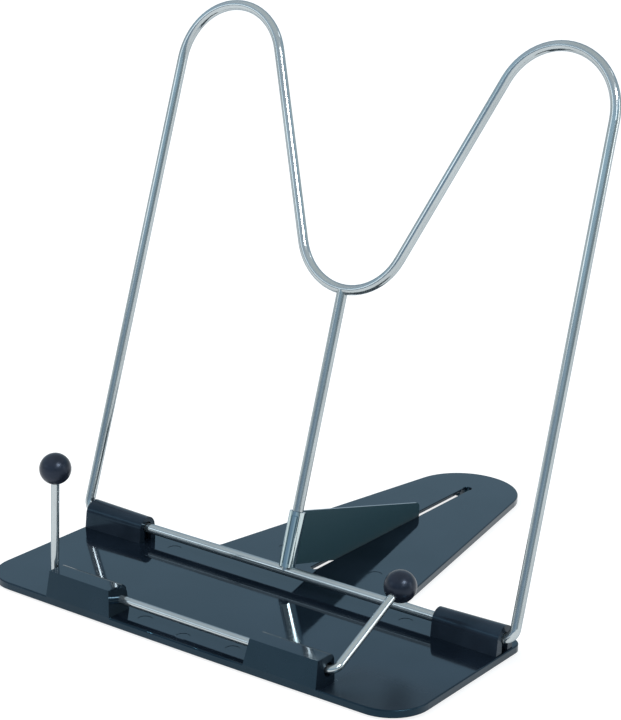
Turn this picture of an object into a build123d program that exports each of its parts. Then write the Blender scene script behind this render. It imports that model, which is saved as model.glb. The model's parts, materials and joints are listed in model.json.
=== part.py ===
from build123d import *
from math import atan2, cos, radians, sin, tan
import os

# Photo album stand, in millimetres. +X to the viewer's right, +Y to the back, +Z up.
# The origin is on the table, in the middle of the stand's footprint.
# "Reach" is a distance back (+) or forward (-) from the hinge line of the back frame.

# Moulded base
base_width = 200.0
front_reach = 67.3
front_bow = 0.7
shoulder_reach = 12.7
tongue_reach = 151.2
tongue_root_width = 90.0
tongue_taper = 10.3
tongue_end_flat = 0.6
front_corner_radius = 16.0
back_corner_radius = 5.5
tongue_root_radius = 4.0
base_height = 3.0
top_wall = 2.0
rim_width = 2.4
rib_width = 1.2
edge_round = 0.5

# Slot for the prop, with a wider channel under its lips
slot_start = 18.2
slot_end = 132.0
slot_width = 3.0
slot_lip = 1.0
slot_edge_round = 0.3
channel_width = 7.4
channel_wall = 1.6
channel_end_gap = 3.5
end_hole_diameter = 3.8

# Rubber feet
foot_diameter = 10.0
foot_thickness = 1.8
foot_drop = 1.0
foot_socket_wall = 1.4
foot_inset = 14.0
rear_foot_reach = 9.0
tongue_foot_inset = 23.0
tongue_foot_spacing = 26.0

# Front blocks, which carry the page holders
holder_inset = 8.1
holder_height = 4.7
holder_block_height = 10.0
holder_block_back = 3.5
holder_block_gap = 66.6
holder_inner_slope = 1.8
holder_outer_slope = 0.5
holder_front_draft = 10.0
holder_block_round = 2.7
core_wall = 1.8
core_width = 2.2

# Page holders
holder_wire = 3.2
holder_spacing = 132.6
holder_bend = 3.4
holder_arm = 43.8
holder_side_gap = 0.9
left_holder_lean = 1.8
right_holder_lean = 64.6
shaft_joint_gap = 1.5
ball_diameter = 12.2
ball_flat = 5.7
ball_hole_past_centre = 1.8

# Back frame of bent wire
lean = 17.7
hinge_height = 5.35
frame_wire = 4.0
frame_overhang = 2.8
frame_bend = 4.6
peak_inset = 4.7
peak_height = 310.1
notch_height = 70.9
arch_radius = 24.6
valley_radius = 24.6
post_wire = 4.2
weld_gap = 0.02

# Hinge blocks
hinge_block_length = 28.8
hinge_block_side_gap = 1.5
knuckle_radius = 4.8
knuckle_draft = 1.2
hinge_front_flare = 0.6
hinge_back_flare = 0.3
hinge_recess_diameter = 5.0
hinge_recess_depth = 1.4
saddle_length = 25.4
saddle_side_gap = 0.15
saddle_shoulder = 1.4
peg_diameter = 2.0
peg_short = 0.2
peg_gap = 0.03

# Prop of folded sheet steel
prop_sheet = 1.0
prop_offset = 0.6
sleeve_bottom = 1.6
sleeve_top = 23.5
prop_tip_reach = 93.4
prop_rear_height = 5.2
prop_heel_reach = 36.4
prop_nose_radius = 2.0
prop_corner_radius = 2.5
prop_foot_depth = 2.0
sleeve_seam = 0.3
tongue_slit = 0.4
spring_tongue_width = 1.8
spring_tongue_bearing = 18.0
spring_tongue_end_gap = 1.4
spring_tongue_root = 3.1

# Fits
running_gap = 0.05
holder_recess_diameter = 5.2
holder_recess_depth = 2.6
inner_recess_depth = 1.2
seat_gap = 0.1
fine = 0.01
ejector_mark_diameter = 5.6
ejector_mark_depth = 0.12
ejector_front_inset = 5.1
ejector_front_spacing = 41.6
ejector_middle_spacing = 112.4
ejector_tongue_spacing = 44.0
ejector_tongue_reach = 29.1

# Places worked out from the sizes above
hinge_y = (front_reach - tongue_reach) / 2
plate_top = foot_drop + base_height
hinge_z = plate_top + hinge_height
half_width = base_width / 2
front_y = hinge_y - front_reach
tongue_y = hinge_y + tongue_reach
root_half = tongue_root_width / 2
end_half = root_half - (tongue_reach - shoulder_reach) * tan(radians(tongue_taper))
tongue_end_radius = (end_half - tongue_end_flat / 2) / tan(radians(45 - tongue_taper / 2))
holder_y = front_y + holder_inset
holder_z = plate_top + holder_height
holder_x = holder_spacing / 2
frame_foot = half_width + frame_overhang
frame_bore_radius = frame_wire / 2 + running_gap
holder_bore_radius = holder_wire / 2 + running_gap
hinge_outer_x = frame_foot - frame_wire / 2 - hinge_block_side_gap
hinge_inner_x = hinge_outer_x - hinge_block_length
hinge_middle_x = (hinge_outer_x + hinge_inner_x) / 2
block_inner_x = holder_block_gap / 2
block_outer_x = holder_x - holder_wire / 2 - holder_side_gap
block_middle_x = (block_inner_x + block_outer_x) / 2
block_back_y = holder_y + holder_block_back

back_dir = Vector(0, sin(radians(lean)), cos(radians(lean)))
front_normal = Vector(0, -cos(radians(lean)), sin(radians(lean)))
hinge_point = Vector(0, hinge_y, hinge_z)


def up_post(distance):
    """Cross-section plane of the post, at a distance up it from the hinge line."""
    return Plane(hinge_point + back_dir * distance, x_dir=(1, 0, 0), z_dir=back_dir)


def across(x, y, z):
    """Plane that looks along +X, for bores and for sections of the blocks."""
    return Plane((x, y, z), x_dir=(0, 1, 0), z_dir=(1, 0, 0))


def shoulder_corners(sketch):
    """Corners on the line of the base's shoulders, from left to right."""
    shoulder_y = hinge_y + shoulder_reach
    row = sketch.vertices().filter_by_position(Axis.Y, shoulder_y - fine, shoulder_y + fine)
    return row.sort_by(Axis.X)


# Plan of the base: a wide front part with a tapering tongue behind
with BuildSketch(Plane.XY.offset(foot_drop)) as outline:
    with BuildLine():
        ThreePointArc(
            (-half_width, front_y + front_bow), (0, front_y), (half_width, front_y + front_bow)
        )
        Polyline(
            (half_width, front_y + front_bow),
            (half_width, hinge_y + shoulder_reach),
            (root_half, hinge_y + shoulder_reach),
            (end_half, tongue_y),
            (-end_half, tongue_y),
            (-root_half, hinge_y + shoulder_reach),
            (-half_width, hinge_y + shoulder_reach),
            (-half_width, front_y + front_bow),
        )
    make_face()
    fillet(outline.vertices().group_by(Axis.Y)[-1], tongue_end_radius)
    fillet(outline.vertices().group_by(Axis.Y)[0], front_corner_radius)
    fillet(shoulder_corners(outline)[1:3], tongue_root_radius)
    fillet(shoulder_corners(outline)[0:4:3], back_corner_radius)

# What the front of the blocks may fill: upright at the rim, drafted back above it
with BuildPart() as drafted_front:
    extrude(outline.sketch, amount=base_height)
    with BuildSketch(Plane.XY.offset(plate_top)):
        add(outline.sketch_local)
    extrude(amount=holder_block_height, taper=holder_front_draft)

# The two front blocks, flush with the bowed front edge and sloped at their ends
with BuildPart() as front_blocks:
    block_face = Plane((0, block_back_y, plate_top), x_dir=(1, 0, 0), z_dir=(0, -1, 0))
    with BuildSketch(block_face):
        with BuildLine():
            Polyline(
                (block_inner_x - holder_inner_slope, -top_wall / 2),
                (block_outer_x, -top_wall / 2),
                (block_outer_x - holder_outer_slope, holder_block_height),
                (block_inner_x, holder_block_height),
                close=True,
            )
        make_face()
        mirror(about=Plane.YZ)
    extrude(amount=front_reach)
    add(drafted_front.part, mode=Mode.INTERSECT)
    block_tops = front_blocks.edges().filter_by(Axis.X).group_by(Axis.Z)[-1]
    fillet(block_tops.group_by(Axis.Y)[-1], holder_block_round)

front_feet = [(side * (half_width - foot_inset), front_y + foot_inset) for side in (-1, 1)]
rear_feet = [(side * hinge_middle_x, hinge_y - rear_foot_reach) for side in (-1, 1)]
tongue_feet = [
    (side * tongue_foot_spacing / 2, tongue_y - tongue_foot_inset) for side in (-1, 1)
]
foot_places = front_feet + rear_feet + tongue_feet

slot_length = slot_end - slot_start
slot_middle = hinge_y + (slot_start + slot_end) / 2
rail_width = channel_width + 2 * channel_wall
peg_y = (knuckle_radius + frame_bore_radius) / 2
peg_places = [
    (side * (hinge_middle_x + step * hinge_block_length / 4), hinge_y + way * peg_y)
    for side in (-1, 1)
    for step in (-1, 1)
    for way in (-1, 1)
]

ejector_marks = [(0, front_y + ejector_front_inset)]
for side in (-1, 1):
    ejector_marks.append((side * ejector_front_spacing / 2, holder_y))
    ejector_marks.append((side * ejector_middle_spacing / 2, hinge_y))
    ejector_marks.append((side * ejector_tongue_spacing / 2, hinge_y + ejector_tongue_reach))

# Hollow under the base, between the rim, the ribs, the foot sockets and the channel's walls
with BuildSketch(Plane.XY.offset(foot_drop)) as hollow:
    offset(outline.sketch, amount=-rim_width)
    with Locations((-prop_offset, slot_middle)):
        Rectangle(rail_width, slot_length + 2 * channel_wall, mode=Mode.SUBTRACT)
    with Locations(*foot_places):
        Circle(foot_diameter / 2 + foot_socket_wall, mode=Mode.SUBTRACT)
    with Locations(*peg_places):
        Circle(peg_diameter / 2 + channel_wall, mode=Mode.SUBTRACT)
    for side in (-1, 1):
        with Locations((side * block_middle_x, front_y)):
            Rectangle(
                block_outer_x - block_inner_x,
                2 * (holder_inset + holder_block_back),
                mode=Mode.SUBTRACT,
            )
    with Locations((0, (front_y + block_back_y) / 2 + front_reach / 2)):
        Rectangle(base_width, rib_width, mode=Mode.SUBTRACT)
    for share in (1 / 4, 1 / 2, 3 / 4):
        with Locations((0, hinge_y + tongue_reach * share)):
            Rectangle(tongue_root_width, rib_width, mode=Mode.SUBTRACT)

with BuildPart() as base_plate:
    extrude(outline.sketch, amount=base_height)
    fillet(base_plate.faces().sort_by(Axis.Z)[-1].edges(), edge_round)
    fillet(base_plate.faces().sort_by(Axis.Z)[0].edges(), edge_round / 2)
    extrude(hollow.sketch, amount=base_height - top_wall, mode=Mode.SUBTRACT)
    add(front_blocks.part)
    # Core pockets under the front blocks
    with BuildSketch(Plane.XY.offset(foot_drop)):
        for side in (-1, 1):
            with Locations((side * block_middle_x, front_y + front_bow + core_wall)):
                Rectangle(
                    block_outer_x - block_inner_x - 2 * (core_wall + holder_recess_depth),
                    core_width,
                    align=(Align.CENTER, Align.MIN),
                )
    extrude(amount=base_height + holder_block_height - core_wall, mode=Mode.SUBTRACT)
    # Bore for the holder shafts, with recesses where the arms bend up
    with Locations(across(0, holder_y, holder_z)):
        Cylinder(holder_bore_radius, base_width, mode=Mode.SUBTRACT)
    for side in (-1, 1):
        with Locations(across(side * block_outer_x, holder_y, holder_z)):
            Cylinder(holder_recess_diameter / 2, 2 * holder_recess_depth, mode=Mode.SUBTRACT)
    # Slot for the prop, the hole at its far end and the channel underneath
    with BuildSketch(Plane.XY.offset(foot_drop)):
        with Locations((-prop_offset, slot_middle)):
            SlotOverall(slot_length, slot_width, rotation=90)
    extrude(amount=base_height, mode=Mode.SUBTRACT)
    with Locations((-prop_offset, hinge_y + slot_end, plate_top)):
        Hole(end_hole_diameter / 2, depth=base_height)
    with BuildSketch(Plane.XY.offset(foot_drop)):
        with Locations((-prop_offset, slot_middle - channel_end_gap / 2)):
            Rectangle(channel_width, slot_length - channel_end_gap)
    extrude(amount=base_height - slot_lip, mode=Mode.SUBTRACT)
    lip = base_plate.faces().filter_by(Plane.XY).filter_by_position(
        Axis.Z, plate_top - fine, plate_top + fine
    )
    fillet(lip.sort_by(SortBy.AREA)[-1].inner_wires().edges(), slot_edge_round)
    # Saddles that hold the frame's crossbar up inside the hinge blocks
    for side in (-1, 1):
        with BuildSketch(across(side * hinge_middle_x, hinge_y, plate_top)):
            Rectangle(
                2 * (frame_bore_radius - saddle_side_gap),
                hinge_height - saddle_shoulder,
                align=(Align.CENTER, Align.MIN),
            )
            with Locations((0, hinge_height)):
                Circle(frame_bore_radius, mode=Mode.SUBTRACT)
        extrude(amount=saddle_length / 2, both=True)
    # Peg holes and foot sockets
    with Locations(*[(x, y, plate_top) for x, y in peg_places]):
        Hole(peg_diameter / 2 + peg_gap, depth=base_height)
    with BuildSketch(Plane.XY.offset(foot_drop)):
        with Locations(*foot_places):
            Circle(foot_diameter / 2 + seat_gap)
    extrude(amount=foot_thickness - foot_drop, mode=Mode.SUBTRACT)
    # Round witness marks of the ejector pins
    with BuildSketch(Plane.XY.offset(plate_top)):
        with Locations(*ejector_marks):
            Circle(ejector_mark_diameter / 2)
    extrude(amount=-ejector_mark_depth, mode=Mode.SUBTRACT)
base_plate.part.label = "base_plate"


# Hinge blocks: a knuckle over the crossbar on two legs, open below, pegged to the base
def knuckle_sketch(x, radius):
    """Outline of a hinge block where it is cut square at x."""
    with BuildSketch(across(x, hinge_y, plate_top)) as section:
        with BuildLine():
            Polyline(
                (radius, hinge_height),
                (radius + hinge_back_flare, 0),
                (-radius - hinge_front_flare, 0),
                (-radius, hinge_height),
            )
            ThreePointArc((-radius, hinge_height), (0, hinge_height + radius), (radius, hinge_height))
        make_face()
    return section.sketch


knuckle_change = hinge_block_length / 2 * tan(radians(knuckle_draft))
with BuildPart() as hinge_block_right:
    add(knuckle_sketch(hinge_inner_x, knuckle_radius - knuckle_change))
    add(knuckle_sketch(hinge_outer_x, knuckle_radius + knuckle_change))
    loft()
    with Locations(across(hinge_middle_x, hinge_y, hinge_z)):
        Cylinder(frame_bore_radius, 2 * hinge_block_length, mode=Mode.SUBTRACT)
    with Locations((hinge_middle_x, hinge_y, plate_top)):
        Box(
            2 * hinge_block_length,
            2 * frame_bore_radius,
            hinge_height,
            align=(Align.CENTER, Align.CENTER, Align.MIN),
            mode=Mode.SUBTRACT,
        )
    for x in (hinge_inner_x, hinge_outer_x):
        with Locations(across(x, hinge_y, hinge_z)):
            Cylinder(hinge_recess_diameter / 2, 2 * hinge_recess_depth, mode=Mode.SUBTRACT)
    with Locations(*[(x, y, plate_top) for x, y in peg_places if x > 0]):
        Cylinder(
            peg_diameter / 2,
            top_wall - peg_short,
            align=(Align.CENTER, Align.CENTER, Align.MAX),
        )
hinge_block_right.part.label = "hinge_block_right"

with BuildPart() as hinge_block_left:
    mirror(hinge_block_right.part, about=Plane.YZ)
hinge_block_left.part.label = "hinge_block_left"

# Back frame: one wire, bent at five theoretical corners and closed on itself
peak_x = frame_foot - peak_inset
frame_plane = Plane(hinge_point, x_dir=(1, 0, 0), z_dir=front_normal)
with BuildPart() as back_frame:
    with BuildLine(frame_plane) as frame_line:
        FilletPolyline(
            (frame_foot, 0),
            (peak_x, peak_height),
            (0, notch_height),
            (-peak_x, peak_height),
            (-frame_foot, 0),
            radius=(frame_bend, arch_radius, valley_radius, arch_radius, frame_bend),
            close=True,
        )
    with BuildSketch(Plane(hinge_point, x_dir=(0, 1, 0), z_dir=(1, 0, 0))):
        Circle(frame_wire / 2)
    sweep(path=frame_line.line)
back_frame.part.label = "back_frame"

# Post: welded between the crossbar and the bottom of the valley
notch_half_angle = atan2(peak_x, peak_height - notch_height)
valley_bottom = notch_height + valley_radius * (1 / sin(notch_half_angle) - 1)
with BuildPart() as center_post:
    with Locations(up_post(0)):
        Cylinder(post_wire / 2, valley_bottom, align=(Align.CENTER, Align.CENTER, Align.MIN))
    for weld in (0, valley_bottom):
        with Locations(Plane(hinge_point + back_dir * weld, x_dir=(0, 1, 0), z_dir=(1, 0, 0))):
            Cylinder(frame_wire / 2 + weld_gap, 2 * frame_wire, mode=Mode.SUBTRACT)
center_post.part.label = "center_post"

# Prop: a plate that reaches into the slot, with a rolled sleeve that slides on the post
sleeve_bore_radius = post_wire / 2 + running_gap
sleeve_radius = sleeve_bore_radius + prop_sheet
plate_plane = across(-prop_offset, hinge_y, plate_top)
bearing = radians(spring_tongue_bearing)
bearing_plane = Plane(
    hinge_point + back_dir * spring_tongue_root,
    x_dir=Vector(1, 0, 0) * cos(bearing) - front_normal * sin(bearing),
    z_dir=back_dir,
)
slit_length = sleeve_top - spring_tongue_end_gap - spring_tongue_root


def beside_post(distance):
    """Point of the post's axis in the plane of the prop: reach, and height above the base."""
    return (distance * back_dir.Y, hinge_height + distance * back_dir.Z)


with BuildPart() as prop_plate:
    with BuildSketch(plate_plane) as prop_face:
        with BuildLine():
            Polyline(
                beside_post(frame_wire / 2 + running_gap),
                beside_post(sleeve_top),
                (prop_tip_reach, prop_rear_height),
                (prop_tip_reach, -prop_foot_depth),
                (prop_heel_reach, -prop_foot_depth),
                close=True,
            )
        make_face()
        fillet(prop_face.vertices().group_by(Axis.X)[-1].sort_by(Axis.Y)[0], prop_nose_radius)
        rear_edge = prop_face.edges().filter_by(Axis.Y).sort_by(Axis.X)[-1]
        fillet(rear_edge.vertices().sort_by(Axis.Y)[-1], prop_corner_radius)
    extrude(amount=prop_sheet / 2, both=True)
    with Locations(up_post(sleeve_bottom)):
        Cylinder(
            sleeve_radius,
            sleeve_top - sleeve_bottom,
            align=(Align.CENTER, Align.CENTER, Align.MIN),
        )
    with Locations(up_post(0)):
        Cylinder(sleeve_bore_radius, 4 * sleeve_top, mode=Mode.SUBTRACT)
    # Saddle notch over the crossbar
    with Locations(Plane(hinge_point, x_dir=(0, 1, 0), z_dir=(1, 0, 0))):
        Cylinder(frame_bore_radius, 4 * sleeve_radius, mode=Mode.SUBTRACT)
    # Seam where the rolled edge comes back to the plate
    with BuildSketch(up_post(sleeve_bottom)):
        with Locations((-prop_offset - prop_sheet / 2 - sleeve_seam / 2, sleeve_radius)):
            Rectangle(sleeve_seam, 2 * sleeve_radius)
    extrude(amount=sleeve_top, mode=Mode.SUBTRACT)
    # Slits that free a spring tongue, which grips the post
    with BuildSketch(bearing_plane):
        for side in (-1, 1):
            with Locations((side * (spring_tongue_width + tongue_slit) / 2, -sleeve_radius)):
                Rectangle(tongue_slit, 2 * prop_sheet)
    extrude(amount=slit_length, mode=Mode.SUBTRACT)
    with BuildSketch(bearing_plane.offset(slit_length)):
        with Locations((0, -sleeve_radius)):
            Rectangle(spring_tongue_width + 2 * tongue_slit, 2 * prop_sheet)
    extrude(amount=-tongue_slit, mode=Mode.SUBTRACT)
prop_plate.part.label = "prop_plate"


# Page holders: a bent wire with its shaft in the front blocks and a ball on its arm
def holder_direction(lean_back):
    """Direction of a holder's arm that leans back from upright by an angle in radians."""
    return Vector(0, sin(lean_back), cos(lean_back))


def bend_holder(shaft_end, arm_x, lean_back):
    """Wire of a page holder, from the end of its shaft to the end of its arm."""
    corner = Vector(arm_x, holder_y, holder_z)
    arm_end = corner + holder_direction(lean_back) * (holder_arm + ball_hole_past_centre - weld_gap)
    with BuildPart() as wire:
        with BuildLine() as wire_line:
            FilletPolyline((shaft_end, holder_y, holder_z), corner, arm_end, radius=holder_bend)
        with BuildSketch(Plane((shaft_end, holder_y, holder_z), z_dir=wire_line.line % 0)):
            Circle(holder_wire / 2)
        sweep(path=wire_line.line)
    return wire.part


def turn_ball(arm_x, lean_back):
    """Ball of a page holder, with a flat and a blind hole for the arm."""
    direction = holder_direction(lean_back)
    centre = Vector(arm_x, holder_y, holder_z) + direction * holder_arm
    arm_plane = Plane(centre, x_dir=(1, 0, 0), z_dir=direction)
    with BuildPart(arm_plane) as ball:
        Sphere(ball_diameter / 2)
        with Locations((0, 0, -ball_flat)):
            Box(
                ball_diameter,
                ball_diameter,
                ball_diameter,
                align=(Align.CENTER, Align.CENTER, Align.MAX),
                mode=Mode.SUBTRACT,
            )
        with Locations((0, 0, ball_hole_past_centre)):
            Cylinder(
                holder_wire / 2 + weld_gap,
                ball_diameter,
                align=(Align.CENTER, Align.CENTER, Align.MAX),
                mode=Mode.SUBTRACT,
            )
    return ball.part


holder_wire_left = bend_holder(block_middle_x - shaft_joint_gap, -holder_x, radians(left_holder_lean))
holder_wire_left.label = "holder_wire_left"
holder_wire_right = bend_holder(block_middle_x, holder_x, radians(right_holder_lean))
holder_wire_right.label = "holder_wire_right"
holder_ball_left = turn_ball(-holder_x, radians(left_holder_lean))
holder_ball_left.label = "holder_ball_left"
holder_ball_right = turn_ball(holder_x, radians(right_holder_lean))
holder_ball_right.label = "holder_ball_right"

pieces = [
    base_plate.part,
    hinge_block_left.part,
    hinge_block_right.part,
    back_frame.part,
    center_post.part,
    prop_plate.part,
    holder_wire_left,
    holder_wire_right,
    holder_ball_left,
    holder_ball_right,
]

# Rubber feet, one in each socket
for number, (x, y) in enumerate(foot_places, start=1):
    with BuildPart() as foot:
        with Locations((x, y, 0)):
            Cylinder(
                foot_diameter / 2,
                foot_thickness,
                align=(Align.CENTER, Align.CENTER, Align.MIN),
            )
        fillet(foot.edges().sort_by(Axis.Z)[0], edge_round)
    foot.part.label = f"foot_pad_{number}"
    pieces.append(foot.part)

os.makedirs("parts", exist_ok=True)
for piece in pieces:
    export_step(piece, f"parts/{piece.label}.step")
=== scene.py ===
import json
from math import radians

import bmesh
import bpy
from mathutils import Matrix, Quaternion, Vector


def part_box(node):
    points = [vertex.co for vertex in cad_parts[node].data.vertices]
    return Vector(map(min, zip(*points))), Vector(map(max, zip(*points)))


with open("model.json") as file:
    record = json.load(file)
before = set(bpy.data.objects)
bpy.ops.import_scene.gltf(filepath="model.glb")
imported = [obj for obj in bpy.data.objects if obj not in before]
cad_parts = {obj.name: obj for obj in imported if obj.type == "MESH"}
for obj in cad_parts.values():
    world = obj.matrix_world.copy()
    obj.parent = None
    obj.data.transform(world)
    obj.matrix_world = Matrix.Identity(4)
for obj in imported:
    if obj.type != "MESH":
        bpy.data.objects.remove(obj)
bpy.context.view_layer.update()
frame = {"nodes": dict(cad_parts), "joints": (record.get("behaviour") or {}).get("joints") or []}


# ---- Moulded base ---------------------------------------------------------------------------
# One thin injection moulding in glossy cool-black plastic: a wide front, a tapering tongue with
# the prop's slot, and two blocks for the page holders. It is polished, with a faint ripple and
# soft smudges, and handling has dulled its right front corner.

def start_finish(name):
    """New material, its node tree and its shader."""
    finish = bpy.data.materials.new(name)
    finish.use_nodes = True
    tree = finish.node_tree
    return finish, tree, tree.nodes["Principled BSDF"]


def node(tree, kind, **values):
    """New node in a tree, with its inputs (an underscore for each space) or properties set."""
    made = tree.nodes.new(kind)
    for key, value in values.items():
        entry = key.replace("_", " ")
        if entry in made.inputs:
            made.inputs[entry].default_value = value
        else:
            setattr(made, key, value)
    return made


def join(tree, start, output, end, entry):
    """Joins an output of one node to an input of another."""
    tree.links.new(start.outputs[output], end.inputs[entry])


def paint(finish, *names):
    """Puts a finish on CAD nodes."""
    for name in names:
        mesh = frame["nodes"][name].data
        mesh.materials.clear()
        mesh.materials.append(finish)


# Levels of the noise at which a smudge begins and at which it is whole.
smudge_edge = 0.4
smudge_heart = 0.7


def handling_marks():
    """Group for the marks of use on a smooth face: soft smudges, finer as their scale grows."""
    group = bpy.data.node_groups.new("handling marks", "ShaderNodeTree")
    group.interface.new_socket("Smudge scale", in_out="INPUT", socket_type="NodeSocketFloat")
    group.interface.new_socket("Smudges", in_out="OUTPUT", socket_type="NodeSocketFloat")
    given = node(group, "NodeGroupInput")
    result = node(group, "NodeGroupOutput")
    place = node(group, "ShaderNodeTexCoord")
    cloud = node(group, "ShaderNodeTexNoise", Detail=3.0, Roughness=0.55)
    soft = node(group, "ShaderNodeMapRange", From_Min=smudge_edge, From_Max=smudge_heart)
    join(group, place, "Object", cloud, "Vector")
    join(group, given, "Smudge scale", cloud, "Scale")
    join(group, cloud, "Fac", soft, "Value")
    join(group, soft, "Result", result, "Smudges")
    return group


def skin_ripple():
    """Group for the fine unevenness of a skin, as a height: finer as its scale grows."""
    group = bpy.data.node_groups.new("skin ripple", "ShaderNodeTree")
    group.interface.new_socket("Ripple scale", in_out="INPUT", socket_type="NodeSocketFloat")
    group.interface.new_socket("Height", in_out="OUTPUT", socket_type="NodeSocketFloat")
    given = node(group, "NodeGroupInput")
    result = node(group, "NodeGroupOutput")
    place = node(group, "ShaderNodeTexCoord")
    uneven = node(group, "ShaderNodeTexNoise", Detail=2.0)
    join(group, place, "Object", uneven, "Vector")
    join(group, given, "Ripple scale", uneven, "Scale")
    join(group, uneven, "Fac", result, "Height")
    return group


marks = handling_marks()
ripples = skin_ripple()


def add_ripple(tree, shader, ripple_scale, ripple_depth):
    """Ripples the skin of a finish."""
    ripple = node(tree, "ShaderNodeGroup", node_tree=ripples, Ripple_scale=ripple_scale)
    skin = node(tree, "ShaderNodeBump", Strength=1.0, Distance=ripple_depth)
    join(tree, ripple, "Height", skin, "Height")
    join(tree, skin, "Normal", shader, "Normal")


def add_wear(tree, shader, smudge_scale, colours, roughnesses):
    """Smudges a finish. Its colours and its roughnesses are each given clean, then smudged."""
    clean, smudged = colours
    mirror, haze = roughnesses
    wear = node(tree, "ShaderNodeGroup", node_tree=marks, Smudge_scale=smudge_scale)
    tone = node(tree, "ShaderNodeMix", data_type="RGBA", A=(*clean, 1.0), B=(*smudged, 1.0))
    rough = node(tree, "ShaderNodeMapRange", To_Min=mirror, To_Max=haze)
    join(tree, wear, "Smudges", tone, "Factor")
    join(tree, tone, "Result", shader, "Base Color")
    join(tree, wear, "Smudges", rough, "Value")
    join(tree, rough, "Result", shader, "Roughness")


# A smudge lifts the black a little and hazes its gloss.
plastic_ior = 1.5
plastic_smudge_lift = 1.5
plastic_smudge_film = 0.002
plastic_smudge_haze = 0.05


def black_plastic(name, colour, gloss, roughness, smudge_scale, ripple_scale, ripple_depth, tint):
    """Injection-moulded black plastic: a cool black body, smudged, with a faint ripple."""
    finish, tree, shader = start_finish(name)
    shader.inputs["IOR"].default_value = plastic_ior
    shader.inputs["Specular IOR Level"].default_value = gloss
    shader.inputs["Specular Tint"].default_value = (*tint, 1.0)
    smudged = [c * plastic_smudge_lift + plastic_smudge_film for c in colour]
    hazed = roughness + plastic_smudge_haze
    add_wear(tree, shader, smudge_scale, (colour, smudged), (roughness, hazed))
    add_ripple(tree, shader, ripple_scale, ripple_depth)
    return finish


cool_gloss = (0.30, 0.70, 1.0)
base_finish = black_plastic(
    "base plastic",
    colour=(0.004, 0.007, 0.012),
    gloss=0.42,
    roughness=0.05,
    smudge_scale=30.0,
    ripple_scale=110.0,
    ripple_depth=0.000012,
    tint=cool_gloss,
)

# Going in from the plate's right side and from its front edge, the dulling is whole up to the
# first distance and gone at the second, in metres.
plate_low, plate_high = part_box("base_plate")
dull_from_side = 0.032
polished_from_side = 0.044
dull_from_front = 0.0172
polished_from_front = 0.0392
dulled_roughness = 0.30

base_tree = base_finish.node_tree
base_shader = base_tree.nodes["Principled BSDF"]
smudged_roughness = base_shader.inputs["Roughness"].links[0].from_socket
base_place = node(base_tree, "ShaderNodeTexCoord")
base_axes = node(base_tree, "ShaderNodeSeparateXYZ")
near_right_side = node(
    base_tree,
    "ShaderNodeMapRange",
    interpolation_type="SMOOTHSTEP",
    From_Min=plate_high.x - polished_from_side,
    From_Max=plate_high.x - dull_from_side,
)
near_front = node(
    base_tree,
    "ShaderNodeMapRange",
    interpolation_type="SMOOTHSTEP",
    From_Min=plate_low.y + polished_from_front,
    From_Max=plate_low.y + dull_from_front,
)
near_corner = node(base_tree, "ShaderNodeMath", operation="MULTIPLY")
dulling = node(base_tree, "ShaderNodeMix", B=dulled_roughness)
join(base_tree, base_place, "Object", base_axes, "Vector")
join(base_tree, base_axes, "X", near_right_side, "Value")
join(base_tree, base_axes, "Y", near_front, "Value")
join(base_tree, near_right_side, "Result", near_corner, 0)
join(base_tree, near_front, "Result", near_corner, 1)
join(base_tree, near_corner, "Value", dulling, "Factor")
base_tree.links.new(smudged_roughness, dulling.inputs["A"])
join(base_tree, dulling, "Result", base_shader, "Roughness")
paint(base_finish, "base_plate")


# ---- Hinge blocks ---------------------------------------------------------------------------
# Two knuckles moulded in the same black plastic, a little duller than the plate. Each closes
# over the crossbar and is pegged to the base beside its saddle.

block_finish = black_plastic(
    "hinge block plastic",
    colour=(0.012, 0.017, 0.025),
    gloss=0.22,
    roughness=0.13,
    smudge_scale=60.0,
    ripple_scale=420.0,
    ripple_depth=0.000004,
    tint=cool_gloss,
)
paint(block_finish, "hinge_block_left", "hinge_block_right")


# ---- Back frame and post --------------------------------------------------------------------
# Round steel wire, bent, butt-welded and then nickel-chrome plated, so bends and welds share
# one bright skin with the slight ripple of the drawn wire below it.

# A smudge darkens the plating a little and hazes its mirror.
plating_metallic = 0.88
plating_edge_tint = (0.30, 0.36, 0.42)
plating_smudge_shade = 0.88
plating_smudge_haze = 1.8
drawn_ripple_scale = 160.0


def plated_steel(name, colour, roughness, smudge_scale, ripple_depth):
    """Bright plating over steel: a mirror skin, smudged, with a slight ripple."""
    finish, tree, shader = start_finish(name)
    shader.inputs["Metallic"].default_value = plating_metallic
    shader.inputs["Specular Tint"].default_value = (*plating_edge_tint, 1.0)
    smudged = [c * plating_smudge_shade for c in colour]
    hazed = roughness * plating_smudge_haze
    add_wear(tree, shader, smudge_scale, (colour, smudged), (roughness, hazed))
    add_ripple(tree, shader, drawn_ripple_scale, ripple_depth)
    return finish


wire_finish = plated_steel(
    "plated wire",
    colour=(0.48, 0.52, 0.53),
    roughness=0.09,
    smudge_scale=45.0,
    ripple_depth=0.000004,
)
paint(wire_finish, "back_frame", "center_post")


# ---- Prop -----------------------------------------------------------------------------------
# Thin sheet steel, cut to a wedge, its front edge rolled into a sleeve that slides on the post.
# It is plated like the wire, but only the sleeve and the cut edges show the bright plating: the
# two flat sides of the wedge are matt, with a painted dark reflection in place of a mirror.

sheet_ior = 1.2
sheet_roughness = 0.07
dull_sheet_roughness = 0.4
# Painted dark reflection: the colour of the wedge's flat sides, standing in for their mirror.
painted_dark_reflection_colour = (0.036, 0.074, 0.088)

prop_finish = plated_steel(
    "plated sheet",
    colour=(0.55, 0.64, 0.65),
    roughness=sheet_roughness,
    smudge_scale=35.0,
    ripple_depth=0.000004,
)
prop_tree = prop_finish.node_tree
prop_shader = prop_tree.nodes["Principled BSDF"]
prop_shader.inputs["IOR"].default_value = sheet_ior
plated_colour = prop_shader.inputs["Base Color"].links[0].from_socket
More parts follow.
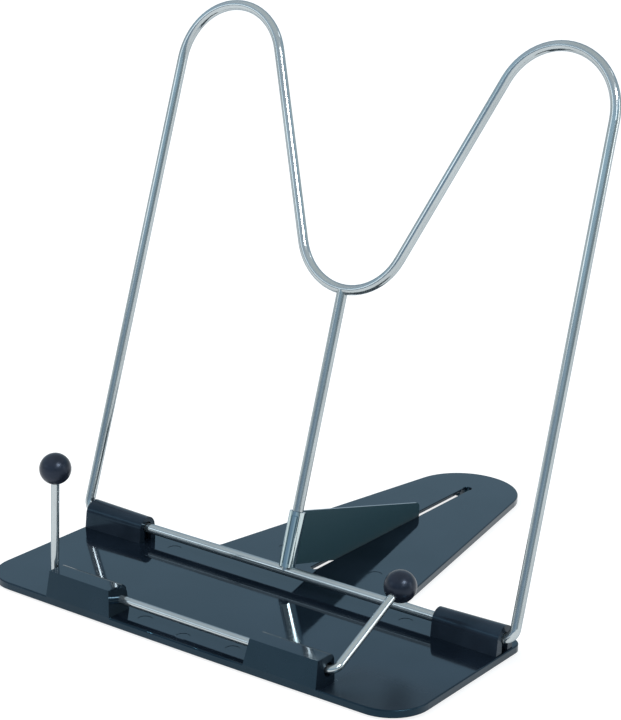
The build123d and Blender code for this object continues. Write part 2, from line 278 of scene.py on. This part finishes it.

# The matt sides with the painted dark reflection are the faces square to the width that lie
# behind the sleeve, which ends 3.9 mm behind the line of the post.
joints = {joint["name"]: joint for joint in frame["joints"]}
post_foot = Vector(joints["backrest_tilt"]["pos_m"])
post_axis = Vector(joints["prop_slide"]["axis"])
behind_post = post_axis.cross(Vector((1.0, 0.0, 0.0)))
sleeve_back = 0.0039
square_to_width = 0.8

prop_place = node(prop_tree, "ShaderNodeTexCoord")
backward = node(prop_tree, "ShaderNodeVectorMath", operation="DOT_PRODUCT")
backward.inputs[1].default_value = behind_post
on_wedge = node(prop_tree, "ShaderNodeMath", operation="GREATER_THAN")
on_wedge.inputs[1].default_value = post_foot.dot(behind_post) + sleeve_back
facing = node(prop_tree, "ShaderNodeSeparateXYZ")
sideways = node(prop_tree, "ShaderNodeMath", operation="ABSOLUTE")
on_side = node(prop_tree, "ShaderNodeMath", operation="GREATER_THAN")
on_side.inputs[1].default_value = square_to_width
# Mask of the matt sides that carry the painted dark reflection.
matt_sides_with_painted_reflection = node(prop_tree, "ShaderNodeMath", operation="MULTIPLY")
bright = node(prop_tree, "ShaderNodeMath", operation="SUBTRACT")
bright.inputs[0].default_value = 1.0
# Behind the sleeve the plated colour gives way to the painted dark reflection.
prop_tone_with_painted_reflection = node(prop_tree, "ShaderNodeMix", data_type="RGBA", B=(*painted_dark_reflection_colour, 1.0))
prop_rough = node(
    prop_tree, "ShaderNodeMapRange", To_Min=sheet_roughness, To_Max=dull_sheet_roughness
)
join(prop_tree, prop_place, "Object", backward, 0)
join(prop_tree, backward, "Value", on_wedge, 0)
join(prop_tree, prop_place, "Normal", facing, "Vector")
join(prop_tree, facing, "X", sideways, 0)
join(prop_tree, sideways, "Value", on_side, 0)
join(prop_tree, on_wedge, "Value", matt_sides_with_painted_reflection, 0)
join(prop_tree, on_side, "Value", matt_sides_with_painted_reflection, 1)
join(prop_tree, matt_sides_with_painted_reflection, "Value", bright, 1)
join(prop_tree, bright, "Value", prop_shader, "Metallic")
prop_tree.links.new(plated_colour, prop_tone_with_painted_reflection.inputs["A"])
join(prop_tree, matt_sides_with_painted_reflection, "Value", prop_tone_with_painted_reflection, "Factor")
join(prop_tree, prop_tone_with_painted_reflection, "Result", prop_shader, "Base Color")
join(prop_tree, matt_sides_with_painted_reflection, "Value", prop_rough, "Value")
join(prop_tree, prop_rough, "Result", prop_shader, "Roughness")
paint(prop_finish, "prop_plate")


# ---- Page holders ---------------------------------------------------------------------------
# Two thinner plated wires that turn in the front blocks, each with a plastic ball pressed
# on the end of its arm so that it doesn't mark the pages.

paint(wire_finish, "holder_wire_left", "holder_wire_right")
ball_finish = black_plastic(
    "ball plastic",
    colour=(0.010, 0.012, 0.019),
    gloss=0.34,
    roughness=0.28,
    smudge_scale=120.0,
    ripple_scale=420.0,
    ripple_depth=0.00001,
    tint=(0.62, 0.76, 1.0),
)
paint(ball_finish, "holder_ball_left", "holder_ball_right")


# ---- Rubber feet ----------------------------------------------------------------------------
# Six round pads of black rubber, pressed into their sockets below the base. They are the
# only parts that touch the table.

rubber_colour = (0.02, 0.02, 0.021)
rubber_roughness = 0.8
rubber_grain_scale = 1500.0
rubber_grain_depth = 0.00002

foot_finish, foot_tree, foot_shader = start_finish("foot rubber")
foot_shader.inputs["Base Color"].default_value = (*rubber_colour, 1.0)
foot_shader.inputs["Roughness"].default_value = rubber_roughness
add_ripple(foot_tree, foot_shader, rubber_grain_scale, rubber_grain_depth)
paint(foot_finish, *[name for name in frame["nodes"] if name.startswith("foot_pad_")])


# ---- Studio ---------------------------------------------------------------------------------
# A white table in a pale room, one large soft lamp above and to the left, one small bright lamp
# that the gloss picks up, four weak strips that draw light lines on the wires, and the camera.

# The camera and every mirror see the table as white with the stand's shadow on it, and to all
# other light it is a pale matt surface.
table_reach = 30.0
table_colour = (0.90, 0.91, 0.92)
table_roughness = 0.9
table_glow = 0.84
table_shadow_share = (0.30, 0.30, 0.30)

floor_mesh = bpy.data.meshes.new("table")
floor_build = bmesh.new()
bmesh.ops.create_grid(floor_build, x_segments=1, y_segments=1, size=table_reach)
floor_build.to_mesh(floor_mesh)
floor_build.free()
floor = bpy.data.objects.new("table", floor_mesh)
bpy.context.scene.collection.objects.link(floor)
table_finish, table_tree, table_shader = start_finish("white table")
table_shader.inputs["Base Color"].default_value = (*table_colour, 1.0)
table_shader.inputs["Roughness"].default_value = table_roughness
table_shader.inputs["Specular IOR Level"].default_value = 0.0
table_ray = node(table_tree, "ShaderNodeLightPath")
table_seen = node(table_tree, "ShaderNodeMath", operation="MAXIMUM")
table_viewed = node(table_tree, "ShaderNodeMath", operation="MAXIMUM")
table_white = node(table_tree, "ShaderNodeEmission", Strength=table_glow)
table_shade = node(table_tree, "ShaderNodeBsdfDiffuse", Color=(*table_shadow_share, 1.0))
table_both = node(table_tree, "ShaderNodeAddShader")
table_choice = node(table_tree, "ShaderNodeMixShader")
join(table_tree, table_ray, "Is Camera Ray", table_seen, 0)
join(table_tree, table_ray, "Is Glossy Ray", table_seen, 1)
join(table_tree, table_seen, "Value", table_viewed, 0)
join(table_tree, table_ray, "Is Transmission Ray", table_viewed, 1)
join(table_tree, table_white, "Emission", table_both, 0)
join(table_tree, table_shade, "BSDF", table_both, 1)
join(table_tree, table_viewed, "Value", table_choice, "Fac")
join(table_tree, table_shader, "BSDF", table_choice, 1)
join(table_tree, table_both, "Shader", table_choice, 2)
join(table_tree, table_choice, "Shader", table_tree.nodes["Material Output"], "Surface")
floor_mesh.materials.append(table_finish)


def tone_ramp(tree, stops):
    """Colour ramp through stops of position and colour, the first at 0 and the last at 1."""
    ramp = node(tree, "ShaderNodeValToRGB")
    tones = ramp.color_ramp.elements
    for position, _ in stops[1:-1]:
        tones.new(position)
    for tone, (_, colour) in zip(tones, stops):
        tone.color = (*colour, 1.0)
    return ramp


# The room's walls differ all round, pale in places and a cool grey in others. Above them its
# tone changes with height alone. Heights are sines of the angle above the table.
walls_top = 0.22
ceiling_edge = 0.32
wall_tones = (
    (0.0, (0.66, 0.72, 0.72)),
    (0.10, (0.60, 0.68, 0.70)),
    (0.16, (0.20, 0.28, 0.36)),
    (0.27, (0.22, 0.34, 0.48)),
    (0.31, (0.40, 0.52, 0.62)),
    (0.39, (0.26, 0.34, 0.40)),
    (0.46, (0.22, 0.29, 0.33)),
    (0.53, (0.60, 0.66, 0.64)),
    (0.66, (0.70, 0.76, 0.74)),
    (0.80, (0.62, 0.70, 0.72)),
    (1.0, (0.66, 0.72, 0.72)),
)
height_tones = (
    (0.0, (0.60, 0.66, 0.68)),
    (0.25, (0.42, 0.58, 0.70)),
    (0.32, (0.43, 0.63, 0.77)),
    (0.41, (0.48, 0.70, 0.85)),
    (0.46, (0.44, 0.62, 0.77)),
    (0.56, (0.50, 0.59, 0.68)),
    (0.75, (0.62, 0.70, 0.76)),
    (1.0, (0.70, 0.76, 0.76)),
)

room = bpy.data.worlds.new("room")
room.use_nodes = True
bpy.context.scene.world = room
room_tree = room.node_tree
room_light = room_tree.nodes["Background"]
room_place = node(room_tree, "ShaderNodeTexCoord")
room_axes = node(room_tree, "ShaderNodeSeparateXYZ")
room_heights = tone_ramp(room_tree, height_tones)
room_round = node(room_tree, "ShaderNodeTexGradient", gradient_type="RADIAL")
room_walls = tone_ramp(room_tree, wall_tones)
room_above = node(
    room_tree,
    "ShaderNodeMapRange",
    interpolation_type="SMOOTHSTEP",
    From_Min=walls_top,
    From_Max=ceiling_edge,
)
room_mix = node(room_tree, "ShaderNodeMix", data_type="RGBA")
join(room_tree, room_place, "Generated", room_axes, "Vector")
join(room_tree, room_place, "Generated", room_round, "Vector")
join(room_tree, room_axes, "Z", room_heights, "Fac")
join(room_tree, room_round, "Fac", room_walls, "Fac")
join(room_tree, room_axes, "Z", room_above, "Value")
join(room_tree, room_above, "Result", room_mix, "Factor")
join(room_tree, room_walls, "Color", room_mix, "A")
join(room_tree, room_heights, "Color", room_mix, "B")
join(room_tree, room_mix, "Result", room_light, "Color")


def point_at(holder, aim, roll=0.0):
    """Turns a lamp or the camera to face a point, rolled about its line of sight."""
    facing = (aim - holder.location).to_track_quat("-Z", "Y")
    holder.rotation_mode = "QUATERNION"
    holder.rotation_quaternion = facing @ Quaternion((0, 0, 1), roll)


def hang_lamp(name, place, wide, tall, power, aim):
    """Rectangular lamp that shines at a point of the stand."""
    lamp = bpy.data.lights.new(name, "AREA")
    lamp.shape = "RECTANGLE"
    lamp.size = wide
    lamp.size_y = tall
    lamp.energy = power
    holder = bpy.data.objects.new(name, lamp)
    holder.location = place
    point_at(holder, aim)
    bpy.context.scene.collection.objects.link(holder)
    return holder


low_aim = Vector((0.0, 0.0, 0.05))
middle_aim = Vector((0.0, 0.0, 0.1))
soft_lamp = hang_lamp(
    "soft lamp", place=(-1.1, -0.9, 1.8), wide=1.6, tall=1.6, power=28.0, aim=low_aim
)
soft_lamp.visible_glossy = False
flash_lamp = hang_lamp(
    "flash lamp", place=(1.25, -0.455, 1.355), wide=0.60, tall=0.25, power=18.0, aim=low_aim
)
flash_lamp.visible_camera = False
flash_lamp.visible_diffuse = False
for side, place, wide, tall, power in (
    ("front", (1.5, -1.05, 1.1), 0.22, 0.6, 1.8),
    ("back", (1.8, 0.75, 0.55), 0.22, 1.0, 3.0),
    ("top", (0.84, 1.0, 1.5), 0.25, 0.25, 0.6),
    ("left", (-1.12, -1.52, 0.71), 0.8, 0.34, 1.15),
):
    strip_lamp = hang_lamp(f"{side} strip lamp", place, wide, tall, power, middle_aim)
    strip_lamp.visible_camera = False

camera_sensor = 36.0
camera_lens = 106.13
camera_place = (0.45545, -0.65057, 0.33391)
camera_aim = Vector((0.0, -0.02834, 0.09157))
camera_roll = radians(1.057)

camera = bpy.data.cameras.new("camera")
camera.sensor_width = camera_sensor
camera.lens = camera_lens
camera_holder = bpy.data.objects.new("camera", camera)
camera_holder.location = camera_place
point_at(camera_holder, camera_aim, camera_roll)
bpy.context.scene.collection.objects.link(camera_holder)
bpy.context.scene.camera = camera_holder
bpy.context.scene.view_settings.view_transform = "Standard"
